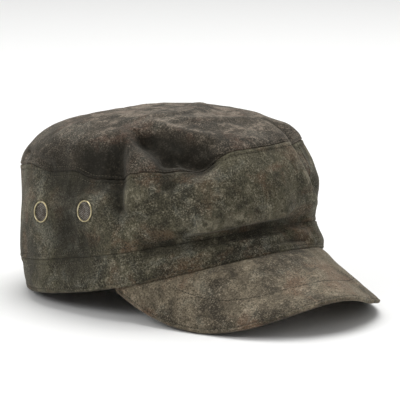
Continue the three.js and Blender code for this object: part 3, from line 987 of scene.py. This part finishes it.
def lay_peak():
    """The peak's upper and lower points, their upward way and how far in and out each lies."""
    across, out = (grid[:, ::-1] for grid in peak_grid())
    inside = peak_distance_in(across, out)
    plain = peak(across, out, 0)
    sunk = PEAK_EDGE_SUNK["middle"] + PEAK_EDGE_SUNK["at_side"] * np.abs(across) ** 3
    upper = place(peak(across, out, sunk * ease(out / PEAK_EDGE_SUNK["from"])))
    steady = np.flatnonzero(np.abs(across[0]) < PEAK_EDGE["steady"])
    upward = grid_outward(upper)[:, np.clip(np.arange(across.shape[1]), steady[0], steady[-1])]
    lower = upper - upward * PEAK_EDGE["thickness"]
    drawn = rolled(inside, (PEAK_EDGE["thickness"] - PEAK_EDGE["skin_gap"]) / 2)
    for row in PEAK_ROWS_SEWN:
        drawn = drawn + row["pull"] * bell(inside - STITCH_ROWS[row["name"]], row["reach"])
    uneven = sum(lumps(plain, **sort) for sort in PEAK_LUMPS) * ease(out * 3) * ease(inside / 6)
    upper = upper - upward * (drawn - uneven)[..., None]
    lower = lower + upward * (drawn + uneven)[..., None]
    return settle(upper), settle(lower), upward, inside, out


PEAK_LAID = lay_peak()


def make_peak():
    upper, lower, upward, inside, _ = PEAK_LAID
    flat = np.zeros_like(inside)
    left = PEAK_EDGE["skived"]
    skived = left + (1 - left) * ease(inside / PEAK_EDGE["skived_width"])
    seen = {"fold_depth": flat, "faces_up": np.clip(upward[..., 2], 0, 1)}
    skin = leather_panel("peak_leather", "peak", upper, seen, skived=skived)
    finish_piece(skin, "peak_top", "peak_top")
    lower, skived, hidden = lower[:, ::-1], skived[:, ::-1], {"fold_depth": flat, "faces_up": flat}
    skin = leather_panel("peak_underside_leather", "peak", lower, hidden, skived=skived)
    finish_piece(skin, "peak_underside", "peak_underside")


# Stitching


def along_path(points, pitch):
    """Even steps along a path of points: where each step is and which way the path goes."""
    pieces = np.linalg.norm(np.diff(points, axis=0), axis=1)
    reach = np.concatenate([[0], np.cumsum(pieces)])
    count = max(int(reach[-1] / pitch), 2)
    steps = (np.arange(count) + 0.5) * reach[-1] / count

    def spots_at(distance):
        return np.stack([np.interp(distance, reach, points[:, axis]) for axis in range(3)], -1)

    ahead, behind = (spots_at(steps + shift) for shift in (WAY_STEP, -WAY_STEP))
    return spots_at(steps), unit(ahead - behind)


def bead(segments, rings, size):
    """A small rounded lozenge, the start of a stitch or of the dark bead of painted shade in a
    needle hole.
    """
    start_fresh()
    bpy.ops.mesh.primitive_uv_sphere_add(segments=segments, ring_count=rings, radius=0.5)
    shape = bpy.context.object
    with editing():
        bpy.ops.transform.rotate(value=math.pi / 2, orient_axis="Y", center_override=(0, 0, 0))
        bpy.ops.transform.resize(value=size, center_override=(0, 0, 0))
    return shape


def copies(name, shape, spots, along, out, finish):
    """One mesh that holds a copy of a shape at every spot, lying along the path."""
    side = unit(np.cross(out, along))
    out = np.cross(along, side)
    count = len(shape.data.vertices)
    corners = np.empty(count * 3)
    shape.data.vertices.foreach_get("co", corners)
    corners = corners.reshape(-1, 3)
    points = (
        spots[:, None]
        + corners[None, :, :1] * along[:, None]
        + corners[None, :, 1:2] * side[:, None]
        + corners[None, :, 2:] * out[:, None]
    )
    faces = [tuple(polygon.vertices) for polygon in shape.data.polygons]
    starts = range(0, len(spots) * count, count)
    all_faces = [tuple(corner + start for corner in face) for start in starts for face in faces]
    mesh = bpy.data.meshes.new(name)
    mesh.from_pydata((points.reshape(-1, 3) * MM).tolist(), [], all_faces)
    mesh.materials.append(finish)
    piece = bpy.data.objects.new(name, mesh)
    bpy.context.scene.collection.objects.link(piece)
    choose(piece)
    bpy.ops.object.shade_smooth()
    bpy.data.objects.remove(shape)
    return piece


def stitch_path(name, points, outward, slot):
    """A row of stitches along a path on the leather, with a dark bead of painted shade at each
    needle hole between them.
    """
    points = np.asarray(points)
    spots, along = along_path(points, STITCH["pitch"])
    nearest = np.argmin(np.linalg.norm(spots[:, None] - points[None], axis=-1), 1)
    out = outward[nearest]
    stitch = bead(6, 5, (STITCH["length"], STITCH["width"], STITCH["height"]))
    row = copies(f"stitches_{name}", stitch, spots, along, out, thread_finish)
    finish_piece(row, slot)
    between = (spots[1:] + spots[:-1]) / 2
    # A dark bead of painted shade at each needle hole
    hole_shade_bead = bead(6, 4, tuple(NEEDLE_HOLE.values()))
    holes = copies(f"needle_hole_shade_{name}", hole_shade_bead, between, along[1:], out[1:], needle_hole_shade_finish)
    finish_piece(holes, slot)


def crown_row(angles, levels, row):
    """Points along a row of stitching on the crown, and the ways out of the leather there."""
    angles, levels = np.broadcast_arrays(np.asarray(angles, float), np.asarray(levels, float))
    skin = crown(angles, levels)
    outward = outward_of(crown, angles, levels, DIFFERENCE["fine"])
    placed = place(skin)
    outward = unit(place(skin + outward) - placed)
    placed = placed - outward * (stitched_relief(row, row) - STITCH["stands"])
    placed[..., 2] = np.maximum(placed[..., 2], STITCH["least_height"])
    return placed, outward


def make_crown_stitching():
    angles = closed_angles(STITCH_PATH_STEPS)
    levels, reach = top_levels()
    rows = STITCH_ROWS
    on_top = float(np.interp(rows["above_upper_seam"], reach, levels))
    sewn = [
        ("hem", "hem", rows["hem"] / BAND_TALL, "head_band"),
        ("band", "below_lower_seam", 1 - rows["below_lower_seam"] / BAND_TALL, "head_band"),
        ("wall_low", "above_lower_seam", 1 + rows["above_lower_seam"] / WALL_TALL, "crown_wall"),
        ("wall_high", "below_upper_seam", 2 - rows["below_upper_seam"] / WALL_TALL, "crown_wall"),
        ("top", "above_upper_seam", on_top, "crown_top"),
    ]
    for name, row, level, slot in sewn:
        points, outward = crown_row(angles, level, rows[row])
        stitch_path(name, points, outward, slot)
    up = np.linspace(*WALL_SEAM_STITCHED.values())
    beside = WALL_SEAM_ANGLE - rows["beside_wall_seam"] / WALL_GIRTH * 360
    points, outward = crown_row(beside, up, rows["beside_wall_seam"])
    stitch_path("wall_seam", points, outward, "crown_wall")


def make_peak_stitching():
    upper, _, upward, inside, out = PEAK_LAID
    for sewn in PEAK_ROWS_SEWN:
        row = STITCH_ROWS[sewn["name"]]
        points, ways = [], []
        for column in range(inside.shape[1]):
            line = inside[:, column]
            if line[0] < row:
                continue
            at = float(np.interp(-row, -line, np.arange(len(line))))
            low = min(int(at), len(line) - 2)
            part = at - low
            if out[low, column] < sewn["least_out"]:
                continue
            points.append(upper[low, column] * (1 - part) + upper[low + 1, column] * part)
            ways.append(upward[low, column])
        points, ways = np.array(points), np.array(ways)
        stitch_path(sewn["name"], points + ways * STITCH["stands"], ways, "peak_top")


# The vents


def make_ring_shape():
    """The rounded ring of a vent, turned about the z axis."""
    start_fresh()
    thick, middle = VENT["outside"] - VENT["inside"], (VENT["outside"] + VENT["inside"]) / 2
    bpy.ops.mesh.primitive_circle_add(vertices=RING_SIDES, radius=thick / 2 * MM)
    ring = bpy.context.object
    ring.data.transform(Matrix.Rotation(math.pi / 2, 4, "X"))
    ring.data.transform(Matrix.Diagonal((1, 1, VENT["ring_fullness"], 1)))
    ring.data.transform(Matrix.Translation(Vector((middle, 0, VENT["ring_rise"])) * MM))
    with editing():
        bpy.ops.mesh.spin(steps=RING_STEPS, angle=2 * math.pi, center=(0, 0, 0), axis=(0, 0, 1))
        bpy.ops.mesh.select_all(action="SELECT")
        bpy.ops.mesh.remove_doubles(threshold=WELD["ring"] * MM)
        bpy.ops.mesh.normals_make_consistent(inside=False)
    bpy.ops.object.shade_smooth()
    ring.data.materials.append(ring_finish)
    return ring


def make_wire(width, phase):
    """A wire along x that goes over and under: a small disc drawn out step by step."""
    steps = 2 * math.ceil(VENT["mesh"] / WIRE["spacing"]) * WIRE["steps"]
    step = 2 * VENT["mesh"] / steps
    along = np.linspace(-VENT["mesh"], VENT["mesh"], steps + 1)
    lift = WIRE["weave"] * np.sin(along / WIRE["spacing"] * math.pi + phase)
    start_fresh()
    bpy.ops.mesh.primitive_circle_add(
        vertices=WIRE_SIDES, radius=width / 2 * MM, fill_type="NGON"
    )
    wire = bpy.context.object
    wire.data.transform(Matrix.Rotation(math.pi / 2, 4, "Y"))
    wire.data.transform(Matrix.Translation(Vector((along[0], 0, lift[0])) * MM))
    with editing():
        for rise in np.diff(lift):
            onward = {"value": (step * MM, 0, rise * MM)}
            bpy.ops.mesh.extrude_region_move(TRANSFORM_OT_translate=onward)
        bpy.ops.mesh.select_all(action="SELECT")
        bpy.ops.mesh.normals_make_consistent(inside=False)
    return wire


def trim_wire(wire, half):
    """Cuts a wire off square, the same distance either side of its middle."""
    choose(wire)
    with editing():
        for end in (-1, 1):
            bpy.ops.mesh.select_all(action="SELECT")
            bpy.ops.mesh.bisect(
                plane_co=(end * half * MM, 0, 0),
                plane_no=(end, 0, 0),
                use_fill=True,
                clear_outer=True,
                threshold=1e-7,
            )


def make_mesh_shape():
    """A disc of woven wire, made of two sets of wires that cross."""
    wires = []
    count = int(VENT["mesh"] / WIRE["spacing"])
    for turn, width in ((WIRE["slant"], WIRE["width"]), (WIRE["slant"] + 90, WIRE["cross_width"])):
        for number in range(-count, count + 1):
            offset = number * WIRE["spacing"]
            wire = make_wire(width, math.pi * (number + len(wires) // (2 * count + 1)))
            trim_wire(wire, math.sqrt(VENT["mesh"] ** 2 - offset**2))
            wire.data.transform(Matrix.Translation((0, offset * MM, 0)))
            wire.data.transform(Matrix.Rotation(math.radians(turn), 4, "Z"))
            wires.append(wire)
    choose(*wires)
    bpy.ops.object.join()
    bpy.ops.object.shade_smooth_by_angle(angle=math.radians(SHARP_ANGLE["wire"]))
    wires[0].data.materials.append(wire_finish)
    return wires[0]


def twin_of(shape, name, turn):
    """A twin of a shape, moved by a matrix, whose mesh shares nothing with the shape's."""
    own = shape.data
    mesh = bpy.data.meshes.new(name)
    faces = [tuple(polygon.vertices) for polygon in own.polygons]
    mesh.from_pydata([turn @ corner.co for corner in own.vertices], [], faces)
    mesh.polygons.foreach_set("use_smooth", [True] * len(faces))
    sharp = {tuple(sorted(edge.vertices)) for edge in own.edges if edge.use_edge_sharp}
    for edge in mesh.edges:
        edge.use_edge_sharp = tuple(sorted(edge.vertices)) in sharp
    mesh.materials.append(own.materials[0])
    twin = bpy.data.objects.new(name, mesh)
    bpy.context.scene.collection.objects.link(twin)
    return twin


def make_vents():
    ring_shape, mesh_shape = make_ring_shape(), make_mesh_shape()
    for vent, seat in zip(VENTS, VENT_SEATS):
        turn = seat_matrix(seat)
        ring = twin_of(ring_shape, f"ring_{vent['spot']}", turn)
        finish_piece(ring, "vent_brass", f"vent_ring_{vent['spot']}")
        turn = turn @ Matrix.Translation((0, 0, -WIRE["sunk"] * MM))
        mesh = twin_of(mesh_shape, f"mesh_{vent['spot']}", turn)
        finish_piece(mesh, "vent_mesh", f"vent_mesh_{vent['spot']}")
    bpy.data.objects.remove(ring_shape)
    bpy.data.objects.remove(mesh_shape)


make_band()
make_wall()
make_top()
make_peak()
make_crown_stitching()
make_peak_stitching()
make_vents()

# The floor, the light and the camera


def make_floor():
    start_fresh()
    bpy.ops.mesh.primitive_plane_add(size=12)
    floor = bpy.context.object
    floor.name = "floor"
    floor.data.materials.append(studio_floor())


# Soft boxes: direction in degrees, distance and size in metres, power in watts
LAMPS = [
    dict(name="overhead", azimuth=100, elevation=76, distance=2.2, size=1.5, power=28),
    dict(name="fill_right", azimuth=5, elevation=30, distance=2.6, size=1.6, power=5),
    dict(name="fill_left", azimuth=-105, elevation=35, distance=2.6, size=1.2, power=23),
    dict(name="far_floor", azimuth=138, elevation=55, distance=4.5, size=3.5, power=80),
]
SKY = 0.38
AIM_HEIGHT = 0.05


def backward(azimuth, elevation):
    """From the cap toward a lamp or camera."""
    a, e = math.radians(azimuth), math.radians(elevation)
    return Vector((math.sin(a) * math.cos(e), -math.cos(a) * math.cos(e), math.sin(e)))


def hang(name, data, spot, way):
    """Puts a lamp or camera at a spot, looking back along the way."""
    holder = bpy.data.objects.new(name, data)
    holder.location = spot
    holder.rotation_mode = "QUATERNION"
    holder.rotation_quaternion = way.to_track_quat("Z", "Y")
    bpy.context.scene.collection.objects.link(holder)
    return holder


def soft_light(name, azimuth, elevation, distance, size, power):
    """A square soft box aimed at the cap."""
    way = backward(azimuth, elevation)
    lamp = bpy.data.lights.new(name, "AREA")
    lamp.shape = "SQUARE"
    lamp.size = size
    lamp.energy = power
    hang(name, lamp, way * distance + Vector((0, 0, AIM_HEIGHT)), way)


def make_light():
    world = bpy.data.worlds.new("studio")
    bpy.context.scene.world = world
    world.use_nodes = True
    background = world.node_tree.nodes["Background"].inputs
    background["Color"].default_value = (1, 1, 1, 1)
    background["Strength"].default_value = SKY
    for lamp in LAMPS:
        soft_light(**lamp)


CAMERA = {
    "azimuth": -41.6,
    "elevation": 10.1,
    "distance": 1200.0,
    "lens": 171.4,
    "aim_right": 14.75,
    "aim_up": 60.2,
}


def make_camera():
    back = backward(CAMERA["azimuth"], CAMERA["elevation"])
    across = math.radians(CAMERA["azimuth"])
    right = Vector((math.cos(across), math.sin(across), 0))
    up = back.cross(right)
    origin = Vector(-FOOTPRINT_MIDDLE)
    aim = origin + right * CAMERA["aim_right"] + up * CAMERA["aim_up"]
    lens = bpy.data.cameras.new("camera")
    lens.lens = CAMERA["lens"]
    lens.sensor_width = 36
    lens.clip_start, lens.clip_end = 0.05, 30
    spot = (aim + back * CAMERA["distance"]) * MM
    bpy.context.scene.camera = hang("camera", lens, spot, back)


make_floor()
make_light()
make_camera()
bpy.context.scene.view_settings.view_transform = "Standard"
